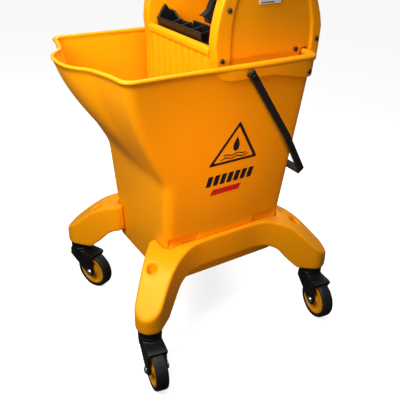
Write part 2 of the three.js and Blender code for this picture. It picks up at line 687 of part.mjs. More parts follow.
// A clawed arm clamped on the shaft, reaching down and forward to the pin that moves the jaw.
function pressArm() {
  const { x, tipY, tipZ, width, rollerRadius } = ARM;
  const reachY = tipY - SHAFT.y;
  const reachZ = tipZ - SHAFT.z;
  const length = Math.hypot(reachY, reachZ);
  const shape = new THREE.Shape();
  shape.moveTo(-17, 0);
  shape.absarc(0, 0, 17, Math.PI, 0, true);
  shape.lineTo(13, -length + 22);
  shape.lineTo(11, -length - 6);
  shape.lineTo(-8, -length - 10);
  shape.lineTo(-15, -length - 6);
  shape.lineTo(-23, -length - 8);
  shape.lineTo(-18, -length + 5);
  shape.lineTo(-21, -length + 19);
  shape.lineTo(-20, -length + 36);
  shape.closePath();
  const blank = extrudeAcross(shape, x - width / 2, x + width / 2, 8);
  const shaftRoom = rodX(SHAFT.radius + 0.4, -200, 200, 0, 0, 16);
  const pinRoom = rodX(rollerRadius - 0.7, -200, 200, 0, -length, 12);
  const arm = cutBy(blank, shaftRoom, pinRoom);
  return arm.rotateX(Math.atan2(reachY, -reachZ)).translate(0, SHAFT.y, SHAFT.z);
}

function pressPin() {
  const { x, tipY, tipZ, width, rollerRadius } = ARM;
  const inner = x - width / 2 - 2;
  const shoulder = x + width / 2 + 0.4;
  return joined(rodX(rollerRadius - 1.2, inner, shoulder + 1, tipY, tipZ, 12),
    rodX(rollerRadius, shoulder, FORK.outerX - 1, tipY, tipZ, 16));
}

function shaftBush(side) {
  const { innerX, outerX } = PANEL;
  const sleeve = rodX(12, innerX - 2, outerX + 2, SHAFT.y, SHAFT.z, 20);
  const flange = rodX(16, outerX + 0.4, outerX + 4, SHAFT.y, SHAFT.z, 20);
  const room = rodX(SHAFT.radius + 0.4, 0, 200, SHAFT.y, SHAFT.z, 16);
  const bush = toSolid(cutBy(joined(sleeve, flange), room));
  return toGeometry(side > 0 ? bush : bush.mirror([1, 0, 0]));
}

// A coil round the shaft, just inside the left side frame.
function returnSpring() {
  const { startX, pitch, turns, coilRadius, wireRadius } = SPRING;
  const stepsPerTurn = 10;
  const points = [];
  for (let step = 0; step <= turns * stepsPerTurn; step += 1) {
    const turn = step / stepsPerTurn;
    const angle = turn * Math.PI * 2;
    const x = startX + turn * pitch;
    points.push(new THREE.Vector3(x, coilRadius * Math.cos(angle), coilRadius * Math.sin(angle)));
  }
  const wire = new THREE.Shape().absarc(0, 0, wireRadius, 0, 2 * Math.PI, false);
  const extrudePath = new THREE.CatmullRomCurve3(points);
  const steps = turns * stepsPerTurn;
  const settings = { steps, extrudePath, bevelEnabled: false, curveSegments: 3 };
  return new THREE.ExtrudeGeometry(wire, settings).translate(0, SHAFT.y, SHAFT.z);
}

// ---- lever ----
// Built upright over the shaft, then leaned back to its rest.
function placeLever(geometry) {
  return geometry.rotateX(-deg(LEVER.leanDeg)).translate(0, SHAFT.y, SHAFT.z);
}

const leverX = (LEVER.bossInnerX + LEVER.bossOuterX) / 2;

function leverSocket() {
  const { bossInnerX, bossOuterX, bossRadius, tubeRadius } = LEVER;
  const boss = rodX(bossRadius, bossInnerX, bossOuterX, 0, 0, 24);
  const neck = rodZ(tubeRadius + 3.5, 0, 78, leverX, 0, 20);
  const shaftRoom = rodX(SHAFT.radius + 0.4, bossInnerX - 5, bossOuterX - 3, 0, 0, 16);
  const tubeRoom = rodZ(tubeRadius + 0.4, 30, 90, leverX, 0, 20);
  const boltRoom = rodX(3.4, 100, 170, 0, LEVER.boltZ, 10);
  return placeLever(cutBy(joined(boss, neck), shaftRoom, tubeRoom, boltRoom));
}

function leverTube() {
  const { tubeRadius, reach } = LEVER;
  const boltRoom = rodX(3.4, 100, 170, 0, LEVER.boltZ, 10);
  return placeLever(cutBy(rodZ(tubeRadius, 31, reach - 8, leverX, 0, 20), boltRoom));
}

function leverGrip() {
  const { tubeRadius, reach } = LEVER;
  const foot = reach - 112;
  const bore = tubeRadius + 0.4;
  const profile = [[bore, foot], [tubeRadius + 4.5, foot], [tubeRadius + 4.5, foot + 4],
    [tubeRadius + 3, foot + 8], [tubeRadius + 4, foot + 52], [tubeRadius + 3, reach - 16],
    [tubeRadius + 4.5, reach - 10], [tubeRadius + 2, reach], [0, reach + 2], [0, reach - 7.5],
    [bore, reach - 7.5]];
  const points = profile.map(([radius, z]) => new THREE.Vector2(radius, z));
  points.push(points[0].clone());
  const geometry = new THREE.LatheGeometry(points, 20);
  return placeLever(geometry.rotateX(Math.PI / 2).translate(leverX, 0, 0));
}

function leverBolt() {
  const near = leverX - LEVER.tubeRadius - 4.5;
  const far = leverX + LEVER.tubeRadius + 4.5;
  const shank = rodX(3, near - 4, far + 1, 0, LEVER.boltZ, 10);
  const head = rodX(5.5, far, far + 3.5, 0, LEVER.boltZ, 6);
  const nut = rodX(5.5, near - 4, near, 0, LEVER.boltZ, 6);
  return placeLever(joined(shank, head, nut));
}

// ---- assembly ----
const envelope = bucketEnvelope();
addMesh("bucket", bucket(), plastic());
addMesh("leg_frame_right", legFrame(envelope, 1), plastic());
addMesh("leg_frame_left", legFrame(envelope, -1), plastic());
CASTORS.forEach(addCastor);
addMesh("bail", bail(), blackPlastic());
addMesh("bail_grip", bailGrip(), material(COLOUR.rubber, 0.7));
addMesh("front_plate", frontPlate(), plastic());
addMesh("back_plate", backPlate(), plastic());
addMesh("rear_cover", rearCover(), plastic());
addMesh("drain_grate", drainGrate(), plastic());
addMesh("label_plate", labelPlate(), material(COLOUR.label, 0.4));
addMesh("press_jaw", pressJaw(), blackPlastic());
addMesh("jaw_channel", jawChannel(), blackPlastic());
addMesh("jaw_hinge_rod", hingeRod(), steel());
addMesh("press_arm", pressArm(), blackPlastic());
addMesh("press_pin", pressPin(), steel());
addMesh("drive_shaft", driveShaft(), steel());
addMesh("return_spring", returnSpring(), steel());
addMesh("lever_socket", leverSocket(), blackPlastic());
addMesh("lever_tube", leverTube(), steel());
addMesh("lever_grip", leverGrip(), material(COLOUR.rubber, 0.7));
addMesh("lever_bolt", leverBolt(), steel());
for (const [name, side] of [["right", 1], ["left", -1]]) {
  addMesh(`side_frame_${name}`, sideFrame(side), plastic());
  addMesh(`bail_pin_${name}`, bailPin(side), blackPlastic());
  addMesh(`skirt_screw_${name}`, skirtScrew(side), steel());
  addMesh(`shaft_bush_${name}`, shaftBush(side), blackPlastic());
  SCREWS.forEach(([y, z, sink], place) => {
    const screw = panScrew(side, PANEL.outerX - sink + GAP, SCREW.length, y, z);
    addMesh(`panel_screw_${name}_${place + 1}`, screw, steel());
  });
}

export default model;
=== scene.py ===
"""Looks of a wheeled mop bucket with a lever-operated press wringer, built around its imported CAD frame.

Lengths are millimetres in a frame whose X and Y start midway between the four castor stems, which is
where the object is drawn from, and place() turns them into the CAD frame's metres.
+X is the lever side, -Y the pouring end, +Y the wringer end and +Z up.
"""

import json
import math

import bmesh
import bpy
import numpy as np
from mathutils import Matrix, Vector


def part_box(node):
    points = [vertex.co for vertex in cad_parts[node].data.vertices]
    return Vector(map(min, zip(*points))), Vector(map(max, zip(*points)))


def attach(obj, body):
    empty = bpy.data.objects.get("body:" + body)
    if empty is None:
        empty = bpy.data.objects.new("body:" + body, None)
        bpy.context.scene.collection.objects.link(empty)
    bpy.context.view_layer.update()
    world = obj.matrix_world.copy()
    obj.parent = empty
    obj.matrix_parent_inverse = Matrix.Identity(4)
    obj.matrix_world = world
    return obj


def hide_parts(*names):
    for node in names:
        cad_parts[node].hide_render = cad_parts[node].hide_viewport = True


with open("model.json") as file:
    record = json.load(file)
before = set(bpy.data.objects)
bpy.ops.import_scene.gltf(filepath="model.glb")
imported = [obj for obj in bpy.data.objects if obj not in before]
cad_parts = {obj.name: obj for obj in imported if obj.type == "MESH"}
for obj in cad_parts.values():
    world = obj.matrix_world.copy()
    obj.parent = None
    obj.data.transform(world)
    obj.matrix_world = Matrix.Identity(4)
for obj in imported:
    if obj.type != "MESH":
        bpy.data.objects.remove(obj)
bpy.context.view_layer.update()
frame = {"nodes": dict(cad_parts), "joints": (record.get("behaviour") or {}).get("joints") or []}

MM = 0.001
CASTOR_NAMES = ("front_right", "front_left", "rear_right", "rear_left")
SIDES = {"right": 1, "left": -1}


def middle(node):
    """The middle of a CAD node's box."""
    low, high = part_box(node)
    return (low + high) / 2


ORIGIN_Y = (middle("castor_front_right_stem").y + middle("castor_rear_right_stem").y) / 2


def place(x, y, z):
    """A point given in millimetres from the middle of the castor stems, in the CAD frame's metres."""
    return Vector((x * MM, y * MM + ORIGIN_Y, z * MM))


def node_span(node):
    """A CAD node's box in millimetres, measured from the middle of the castor stems."""
    low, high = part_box(node)
    shift = Vector((0, ORIGIN_Y, 0))
    return (low - shift) / MM, (high - shift) / MM


def smoothstep(value, low, high):
    """0 below one limit, 1 above the other and a smooth rise between them."""
    share = np.clip((np.asarray(value, float) - low) / (high - low), 0, 1)
    return share * share * (3 - 2 * share)


# ---- camera ----
CAMERA_AT, CAMERA_LENS_MM = (762, -479, 719), 49.5
CAMERA_TURN_DEG = (57.2, 29.4, 1.6)      # round the object, down on it, and rolled


def add_camera():
    """A camera in front of the lever side's front corner, looking down on the bucket."""
    azimuth, elevation, roll = (math.radians(angle) for angle in CAMERA_TURN_DEG)
    back = Vector((
        math.sin(azimuth) * math.cos(elevation),
        -math.cos(azimuth) * math.cos(elevation),
        math.sin(elevation),
    ))
    right = Vector((math.cos(azimuth), math.sin(azimuth), 0))
    up = back.cross(right)
    across = right * math.cos(roll) + up * math.sin(roll)
    upward = up * math.cos(roll) - right * math.sin(roll)
    data = bpy.data.cameras.new("camera")
    data.sensor_width = 36
    data.lens = CAMERA_LENS_MM
    data.clip_start = 0.05
    data.clip_end = 50
    camera = bpy.data.objects.new("camera", data)
    turn = Matrix((across, upward, back)).transposed().to_4x4()
    camera.matrix_world = Matrix.Translation(place(*CAMERA_AT)) @ turn
    bpy.context.collection.objects.link(camera)
    bpy.context.scene.camera = camera


add_camera()


# ---- materials ----
class Shader:
    """A Principled material under construction, with object coordinates for its patterns."""

    def __init__(self, name, roughness, metallic=0.0):
        self.material = bpy.data.materials.new(name)
        self.material.use_nodes = True
        self.tree = self.material.node_tree
        self.surface = self.tree.nodes["Principled BSDF"]
        self.surface.inputs["Roughness"].default_value = roughness
        self.surface.inputs["Metallic"].default_value = metallic
        self.place = self.add("ShaderNodeTexCoord").outputs["Object"]

    def add(self, kind, **settings):
        node = self.tree.nodes.new(kind)
        for key, value in settings.items():
            setattr(node, key, value)
        return node

    def join(self, source, target):
        self.tree.links.new(source, target)

    def stretched(self, scale):
        """Object coordinates scaled per axis, for streaks and brushing."""
        mapping = self.add("ShaderNodeMapping")
        mapping.inputs["Scale"].default_value = scale
        self.join(self.place, mapping.inputs["Vector"])
        return mapping.outputs["Vector"]

    def noise(self, scale, detail=3.0, roughness=0.5, vector=None):
        node = self.add("ShaderNodeTexNoise")
        node.inputs["Scale"].default_value = scale
        node.inputs["Detail"].default_value = detail
        node.inputs["Roughness"].default_value = roughness
        self.join(vector or self.place, node.inputs["Vector"])
        return node.outputs["Fac"]

    def span(self, value, from_low, from_high, to_low, to_high):
        """A value moved from one range to another and kept inside it."""
        node = self.add("ShaderNodeMapRange")
        self.join(value, node.inputs["Value"])
        limits = {"From Min": from_low, "From Max": from_high, "To Min": to_low, "To Max": to_high}
        for key, limit in limits.items():
            node.inputs[key].default_value = limit
        return node.outputs["Result"]

    def combine(self, operation, first, second):
        node = self.add("ShaderNodeMath", operation=operation)
        for socket, value in zip(node.inputs, (first, second)):
            if isinstance(value, (int, float)):
                socket.default_value = value
            else:
                self.join(value, socket)
        return node.outputs["Value"]

    def blend(self, share, first, second):
        """A colour between two, each a colour socket or an RGB triple."""
        node = self.add("ShaderNodeMix", data_type="RGBA")
        self.join(share, node.inputs["Factor"])
        for socket, colour in ((node.inputs[6], first), (node.inputs[7], second)):
            if isinstance(colour, tuple):
                socket.default_value = (*colour, 1)
            else:
                self.join(colour, socket)
        return node.outputs[2]

    def bump(self, height, depth_mm, strength=1.0, under=None):
        node = self.add("ShaderNodeBump")
        node.inputs["Strength"].default_value = strength
        node.inputs["Distance"].default_value = depth_mm * MM
        self.join(height, node.inputs["Height"])
        if under is not None:
            self.join(under, node.inputs["Normal"])
        return node.outputs["Normal"]

    def edges(self, low, high):
        """0 on flat surface and 1 on outward edges."""
        geometry = self.add("ShaderNodeNewGeometry")
        return self.span(geometry.outputs["Pointiness"], low, high, 0, 1)

    def drive(self, colour=None, roughness=None, normal=None):
        for name, socket in (("Base Color", colour), ("Roughness", roughness), ("Normal", normal)):
            if socket is not None:
                self.join(socket, self.surface.inputs[name])
        return self.material


def moulded_plastic(name, light, body, deep, smooth_share=0.30, rough_share=0.46, peel_mm=0.05,
                    sheen=(1, 1, 1)):
    """Glossy moulded plastic: slight flow marks, orange peel, fine scuffs and lighter worn edges."""
    shader = Shader(name, smooth_share)
    shader.surface.inputs["Specular Tint"].default_value = (*sheen, 1)
    flow = shader.noise(9, 4, 0.55, shader.stretched((1, 1, 0.45)))
    grain = shader.noise(260, 2, 0.6)
    colour = shader.blend(shader.span(flow, 0.3, 0.7, 0, 1), deep, body)
    colour = shader.blend(shader.span(grain, 0.35, 0.75, 0, 0.16), colour, light)
    colour = shader.blend(shader.edges(0.56, 0.68), colour, light)
    scuffs = shader.noise(60, 5, 0.7, shader.stretched((1, 1, 0.14)))
    marks = shader.span(scuffs, 0.60, 0.72, 0, 1)
    patch = shader.noise(16, 3, 0.5)
    rough = shader.span(patch, 0.3, 0.7, smooth_share, rough_share)
    rough = shader.combine("ADD", rough, shader.combine("MULTIPLY", marks, 0.10))
    peel = shader.bump(shader.noise(420, 2, 0.5), peel_mm, 0.5)
    sink = shader.bump(shader.noise(24, 2, 0.4), 0.5, 0.25, peel)
    shader.surface.inputs["IOR"].default_value = 1.49
    return shader.drive(colour, rough, sink)


def dark_moulding(name, tone, light, rough_low, rough_high):
    """Black moulded nylon or rubber with a fine spark-eroded grain and dusty edges."""
    shader = Shader(name, rough_low)
    shader.surface.inputs["Specular IOR Level"].default_value = 0.32
    grain = shader.noise(900, 3, 0.6)
    dust = shader.noise(38, 5, 0.6)
    colour = shader.blend(shader.span(dust, 0.42, 0.75, 0, 0.6), tone, light)
    colour = shader.blend(shader.edges(0.52, 0.62), colour, light)
    rough = shader.span(dust, 0.3, 0.7, rough_low, rough_high)
    return shader.drive(colour, rough, shader.bump(grain, 0.06, 0.6))


def brushed_metal(name, tone, light, rough_low, rough_high, scale=(1, 1, 1)):
    """Plated steel with fine turning or drawing lines and slight dulling."""
    shader = Shader(name, rough_low, 1.0)
    lines = shader.noise(1500, 2, 0.5, shader.stretched(scale))
    dull = shader.noise(45, 4, 0.6)
    colour = shader.blend(shader.span(dull, 0.3, 0.7, 0, 1), tone, light)
    rough = shader.combine(
        "ADD", shader.span(dull, 0.3, 0.7, rough_low, rough_high), shader.span(lines, 0.3, 0.7, 0, 0.08))
    return shader.drive(colour, rough, shader.bump(lines, 0.012, 0.5))


def printed_ink(name, tone, light):
    """Screen-printed ink, slightly uneven."""
    shader = Shader(name, 0.45)
    shader.surface.inputs["Specular IOR Level"].default_value = 0.25
    cover = shader.noise(300, 3, 0.6)
    colour = shader.blend(shader.span(cover, 0.55, 0.8, 0, 0.5), tone, light)
    return shader.drive(colour, shader.span(cover, 0.3, 0.7, 0.38, 0.55), shader.bump(cover, 0.02, 0.5))


YELLOW = moulded_plastic(
    "yellow_plastic", (1.0, 0.46, 0.012), (0.93, 0.342, 0.0015), (0.89, 0.310, 0.001),
    sheen=(1.0, 0.78, 0.25))
DISC = moulded_plastic(
    "wheel_plastic", (0.85, 0.40, 0.02), (0.74, 0.285, 0.006), (0.64, 0.235, 0.004), 0.4, 0.55,
    sheen=(1.0, 0.8, 0.4))
BLACK = dark_moulding("black_plastic", (0.0035, 0.0035, 0.004), (0.013, 0.0125, 0.012), 0.34, 0.50)
RUBBER = dark_moulding("tyre_rubber", (0.005, 0.005, 0.006), (0.016, 0.016, 0.016), 0.46, 0.64)
GRIP = dark_moulding("grip_rubber", (0.006, 0.006, 0.0065), (0.018, 0.0175, 0.017), 0.55, 0.72)
STEEL = brushed_metal("bright_steel", (0.50, 0.51, 0.53), (0.66, 0.67, 0.69), 0.20, 0.32, (1, 1, 0.08))
ZINC = brushed_metal("zinc_plate", (0.55, 0.56, 0.57), (0.78, 0.79, 0.80), 0.16, 0.28)
SCREW_STEEL = brushed_metal("screw_steel", (0.06, 0.055, 0.05), (0.15, 0.14, 0.13), 0.42, 0.58)
INK_BLACK = printed_ink("ink_black", (0.010, 0.009, 0.009), (0.06, 0.04, 0.02))
INK_RED = printed_ink("ink_red", (0.52, 0.012, 0.010), (0.62, 0.06, 0.02))
INK_GREY = printed_ink("ink_grey", (0.14, 0.14, 0.15), (0.30, 0.30, 0.31))
LABEL = moulded_plastic(
    "label_white", (0.86, 0.86, 0.86), (0.74, 0.74, 0.75), (0.66, 0.66, 0.68), 0.35, 0.5, 0.02)


# ---- mesh tools ----
def add_piece(name, points, faces, body, finish, slot, replaces=(), flat_angle=40.0):
    """A mesh piece that rides on a CAD body, smooth except across sharp corners."""
    mesh = bpy.data.meshes.new(name)
    mesh.from_pydata([tuple(point) for point in points], [], faces)
    work = bmesh.new()
    work.from_mesh(mesh)
    bmesh.ops.recalc_face_normals(work, faces=work.faces)
    sharp = math.radians(flat_angle)
    for edge in work.edges:
        edge.smooth = len(edge.link_faces) == 2 and edge.calc_face_angle(0) < sharp
    for face in work.faces:
        face.smooth = True
    work.to_mesh(mesh)
    work.free()
    mesh.materials.append(finish)
    piece = bpy.data.objects.new(name, mesh)
    bpy.context.collection.objects.link(piece)
    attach(piece, body)
    if replaces:
        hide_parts(*replaces)
    return piece


def bridge(first, second, closed=True):
    """Quads between two equal rows of vertex numbers."""
    count = len(first)
    stop = count if closed else count - 1
    return [[first[i], first[(i + 1) % count], second[(i + 1) % count], second[i]] for i in range(stop)]


def filleted(points, radius, closed=False, steps=4):
    """A polyline with its corners replaced by arcs of up to that radius."""
    points = [np.array(point, float) for point in points]
    count = len(points)
    made = []
    for place_in_line, corner in enumerate(points):
        if not closed and place_in_line in (0, count - 1):
            made.append(corner)
            continue
        before = points[place_in_line - 1] - corner
        after = points[(place_in_line + 1) % count] - corner
        reach_before, reach_after = np.linalg.norm(before), np.linalg.norm(after)
        before, after = before / reach_before, after / reach_after
        opening = min(math.acos(float(np.clip(before @ after, -1, 1))), math.radians(172))
        trim = min(radius / math.tan(opening / 2), 0.48 * reach_before, 0.48 * reach_after)
        start, end = corner + before * trim, corner + after * trim
        for step in range(steps + 1):
            share = step / steps
            made.append((1 - share) ** 2 * start + 2 * share * (1 - share) * corner + share ** 2 * end)
    return made


def turned(profile, origin, axis, segments=64, loop=False):
    """Points and faces of a body turned about an axis. profile holds (radius, distance along the axis)."""
    axis = Vector(axis).normalized()
    side = axis.orthogonal().normalized()
    up = axis.cross(side)
    points, rings = [], []
    for radius, along in profile:
        base = origin + axis * float(along) * MM
        if radius < 1e-6:
            rings.append([len(points)])
            points.append(base)
            continue
        rings.append(list(range(len(points), len(points) + segments)))
        for step in range(segments):
            turn = 2 * math.pi * step / segments
            points.append(base + (side * math.cos(turn) + up * math.sin(turn)) * float(radius) * MM)
    faces = []
    for low, high in list(zip(rings, rings[1:])) + ([(rings[-1], rings[0])] if loop else []):
        for step in range(segments):
            after = (step + 1) % segments
            corners = [low[step % len(low)], low[after % len(low)],
                       high[after % len(high)], high[step % len(high)]]
            faces.append(list(dict.fromkeys(corners)))
    return points, faces


def merged(*parts):
    """Several (points, faces) as one."""
    points, faces = [], []
    for more_points, more_faces in parts:
        shift = len(points)
        points += more_points
        faces += [[shift + corner for corner in face] for face in more_faces]
    return points, faces


def prism(outline, low, high, to_point):
    """A closed prism on a flat outline. to_point(u, v, w) gives the point at height w over (u, v)."""
    count = len(outline)
    points = [to_point(u, v, low) for u, v in outline] + [to_point(u, v, high) for u, v in outline]
    lower, upper = list(range(count)), list(range(count, 2 * count))
    return points, bridge(lower, upper) + [lower[::-1], upper]


def bake(piece):
    """Makes a piece's modifiers part of its mesh."""
    bpy.context.view_layer.update()
    shaped = bpy.data.meshes.new_from_object(piece.evaluated_get(bpy.context.evaluated_depsgraph_get()))
    piece.modifiers.clear()
    piece.data = shaped


def cut_recess(piece, points, faces):
    """Cuts a closed shape out of a piece's mesh."""
    mesh = bpy.data.meshes.new("cutter")
    mesh.from_pydata([tuple(point) for point in points], [], faces)
    work = bmesh.new()
    work.from_mesh(mesh)
    bmesh.ops.recalc_face_normals(work, faces=work.faces)
    work.to_mesh(mesh)
    work.free()
    cutter = bpy.data.objects.new("cutter", mesh)
    bpy.context.collection.objects.link(cutter)
    cut = piece.modifiers.new("recess", "BOOLEAN")
    cut.operation = "DIFFERENCE"
    cut.object = cutter
    cut.solver = "EXACT"
    bake(piece)
    bpy.data.objects.remove(cutter)


def round_corners(piece, voxel_mm, rounds):
    """Gives a piece an even mesh and relaxes it, which rounds its corners as a moulding's are."""
    remesh = piece.modifiers.new("even_mesh", "REMESH")
    remesh.mode = "VOXEL"
    remesh.voxel_size = voxel_mm * MM
    remesh.use_smooth_shade = True
    relax = piece.modifiers.new("rounded", "SMOOTH")
    relax.factor = 0.5
    relax.iterations = rounds


def soften(node, finish, voxel_mm, rounds):
    """Shows a CAD node with rounded corners."""
    piece = frame["nodes"][node]
    round_corners(piece, voxel_mm, rounds)
    paint(piece, finish)


def chamfer(node, finish, width_mm):
    """Shows a CAD node with small rounded edges."""
    piece = frame["nodes"][node]
    bevel = piece.modifiers.new("edge", "BEVEL")
    bevel.width = width_mm * MM
    bevel.segments = 2
    bevel.limit_method = "ANGLE"
    bevel.angle_limit = math.radians(35)
    bevel.harden_normals = True
    paint(piece, finish)


def paint(piece, finish):
    """Gives a whole piece one material."""
    piece.data.materials.clear()
    piece.data.materials.append(finish)


# ---- bucket ----
RIM_Z = node_span("bucket")[1].z
BASE_Z = node_span("bucket")[0].z
WAIST_Z, TAPER_START_Z = 320, 201
BASE_HALF_X, RIM_HALF_X = 99.5, 139.5
BASE_FRONT_Y, WAIST_FRONT_Y, RIM_FRONT_Y = -113, -122, -197
BASE_REAR_Y, RIM_REAR_Y = 124, 130
WALL, CORNER, BOTTOM_ROUND = 3.2, 16, 10
LOBE_HALF, LOBE_DEPTH, VEE_DEPTH, FLARE_TURN = 60, 26, 15, math.pi * 0.42
RING_POINTS, RING_SPREAD = 400, 4.0      # points round a level, and how far its corners are eased
# the rim's radius in front, and what it gains over each of two runs rearwards
BEAD = {"front": 2.6, "corner": 0.6, "corner_y": (-240, -180), "rear": 2.0, "rear_y": (-120, 20)}
BEAD_STEPS = 17
SOFTEN_STEP, SOFTEN_REACH = 6.0, 9.0     # how far walls are averaged up and down
SOFTEN_STEPS = [(step * SOFTEN_STEP, math.exp(-((step * SOFTEN_STEP) / SOFTEN_REACH) ** 2 / 2))
                for step in range(-4, 5)]


def half_width(z):
    """Half the bucket's width at a level, before its creases are softened."""
    slope = (RIM_HALF_X - BASE_HALF_X) / (RIM_Z - TAPER_START_Z)
    return BASE_HALF_X + max(z - TAPER_START_Z, 0) * slope


def front_y(z):
    """Where the front wall stands at a level: nearly upright to the waist, then flaring forward."""
    if z <= WAIST_Z:
        share = max(z - BASE_Z, 0) / (WAIST_Z - BASE_Z)
        return BASE_FRONT_Y + (WAIST_FRONT_Y - BASE_FRONT_Y) * share
    share = (z - WAIST_Z) / (RIM_Z - WAIST_Z)
    bulge = math.sin(share * FLARE_TURN) / math.sin(FLARE_TURN)
    return WAIST_FRONT_Y + (RIM_FRONT_Y - WAIST_FRONT_Y) * bulge


def softened(measure, z):
    """A wall's measure at a level, averaged over its neighbourhood so that creases come out round."""
    total = sum(weight for _, weight in SOFTEN_STEPS)
    return sum(measure(z + step) * weight for step, weight in SOFTEN_STEPS) / total


def bucket_ring(z, inset=0.0):
    """The bucket's plan outline at a level as an array of evenly spaced points, from the front's middle."""
    half_x = softened(half_width, z) - inset
    front = softened(front_y, z) + inset
    rear = BASE_REAR_Y + (RIM_REAR_Y - BASE_REAR_Y) * float(smoothstep(z, BASE_Z, RIM_Z)) - inset
    flare = float(smoothstep(z, WAIST_Z - 20, RIM_Z + 20))
    half = []
    for share in np.linspace(0, 1, 24):
        swell = LOBE_DEPTH * math.cos(math.pi / 2 * share ** 1.53)
        half.append((LOBE_HALF * share, front - flare * (VEE_DEPTH + swell)))
    for share in np.linspace(0.12, 0.88, 6):
        across = LOBE_HALF + (half_x - CORNER - LOBE_HALF) * share
        half.append((across, front - flare * VEE_DEPTH * (1 - share) ** 1.5))
    for turn in np.linspace(0, math.pi / 2, 9):
        half.append((half_x - CORNER + CORNER * math.sin(turn), front + CORNER - CORNER * math.cos(turn)))
    for turn in np.linspace(0, math.pi / 2, 9):
        half.append((half_x - CORNER + CORNER * math.cos(turn), rear - CORNER + CORNER * math.sin(turn)))
    half.append((0, rear))
    mirrored = [(-x, y) for x, y in half[-2:0:-1]]
    line = np.array(half + mirrored + half[:1])
    steps = np.linalg.norm(np.diff(line, axis=0), axis=1)
    along = np.concatenate([[0], np.cumsum(steps)])
    stations = np.linspace(0, along[-1], RING_POINTS, endpoint=False)
    ring = np.stack([np.interp(stations, along, line[:, axis]) for axis in (0, 1)], axis=1)
    spread = RING_SPREAD / (along[-1] / RING_POINTS)
    reach = int(3 * spread)
    weights = np.exp(-(np.arange(-reach, reach + 1) / spread) ** 2 / 2)
    weights /= weights.sum()
    shifts = range(-reach, reach + 1)
    return sum(np.roll(ring, shift, axis=0) * weight for shift, weight in zip(shifts, weights))


RECESSES = ((-109, -55), (63, 111))      # shallow hollows low in each side wall, over the leg frames
RECESS_LOW, RECESS_HIGH, RECESS_DEPTH = 200, 215, 5.0


def recess_depth(ring, z):
    """How far each point of a ring is pressed in by the side walls' hollows."""
    sides = np.abs(ring[:, 0]) > BASE_HALF_X - 8
    rise = smoothstep(z, RECESS_LOW - 3, RECESS_LOW) * (1 - smoothstep(z, RECESS_HIGH - 4, RECESS_HIGH))
    depth = np.zeros(len(ring))
    for low, high in RECESSES:
        depth += smoothstep(ring[:, 1], low - 3, low + 3) * (1 - smoothstep(ring[:, 1], high - 3, high + 3))
    return depth * sides * rise * RECESS_DEPTH


def bead(y):
    """Radius of the rolled rim at a depth, and how far its middle lies inside the wall's outer face."""
    radius = BEAD["front"] + BEAD["corner"] * smoothstep(y, *BEAD["corner_y"])
    radius = radius + BEAD["rear"] * smoothstep(y, *BEAD["rear_y"])
    return radius, 0.9 - 0.12 * (radius - BEAD["front"])


def bead_rows():
    """Rows over the rolled rim, from the outside to the inside."""
    top = bucket_ring(RIM_Z)
    inward = bucket_ring(RIM_Z, 1) - top
    radius, inset = bead(top[:, 1])
    start = math.pi + np.arccos(inset / radius)
    finish = -np.arccos((WALL - inset) / radius)
    rows = []
    for share in np.linspace(0, 1, BEAD_STEPS):
        turn = start + (finish - start) * share
        line = top + inward * (inset + radius * np.cos(turn))[:, None]
        heights = RIM_Z - radius + radius * np.sin(turn)
        rows.append([place(x, y, z) for (x, y), z in zip(line, heights)])
    return rows


def bucket_wall_rings():
    """Rows of 3-D points up the outside, over the rolled rim and down the inside."""
    rows = []

    def add(z, inset, hollow=False):
        ring = bucket_ring(z, inset)
        if hollow:
            ring[:, 0] -= np.sign(ring[:, 0]) * recess_depth(ring, z)
        rows.append([place(x, y, z) for x, y in ring])

    for share in (0.45, 0.75):
        rows.append([place(x * share, y * share, BASE_Z) for x, y in bucket_ring(BASE_Z, BOTTOM_ROUND)])
    for turn in np.linspace(0, math.pi / 2, 8):
        drop = BOTTOM_ROUND * (1 - math.cos(turn))
        add(BASE_Z + drop, BOTTOM_ROUND * (1 - math.sin(turn)))
    bead_foot = RIM_Z - 12
    # finer rows over the side walls' hollows
    levels = [np.arange(147, 200, 6), np.arange(200, 234, 1.6), np.arange(236, bead_foot, 4)]
    for z in np.concatenate(levels):
        add(z, 0, hollow=True)
    rows.extend(bead_rows())
    for z in np.arange(bead_foot, BASE_Z + BOTTOM_ROUND + 2, -4):
        add(z, WALL, hollow=True)
    for turn in np.linspace(math.pi / 2, 0, 7):
        drop = (BOTTOM_ROUND - WALL) * (1 - math.cos(turn))
        add(BASE_Z + WALL + drop, WALL + (BOTTOM_ROUND - WALL) * (1 - math.sin(turn)))
    floor = bucket_ring(BASE_Z + WALL, BOTTOM_ROUND)
    rows.append([place(x * 0.7, y * 0.7, BASE_Z + WALL) for x, y in floor])
    return rows


SKIRT = {
    "front_y": -57, "lead": 34, "lead_depth": 8, "depth": 24, "rear_depth": 37, "stand": 5.5,
    "steps_y": (45, 105),
}


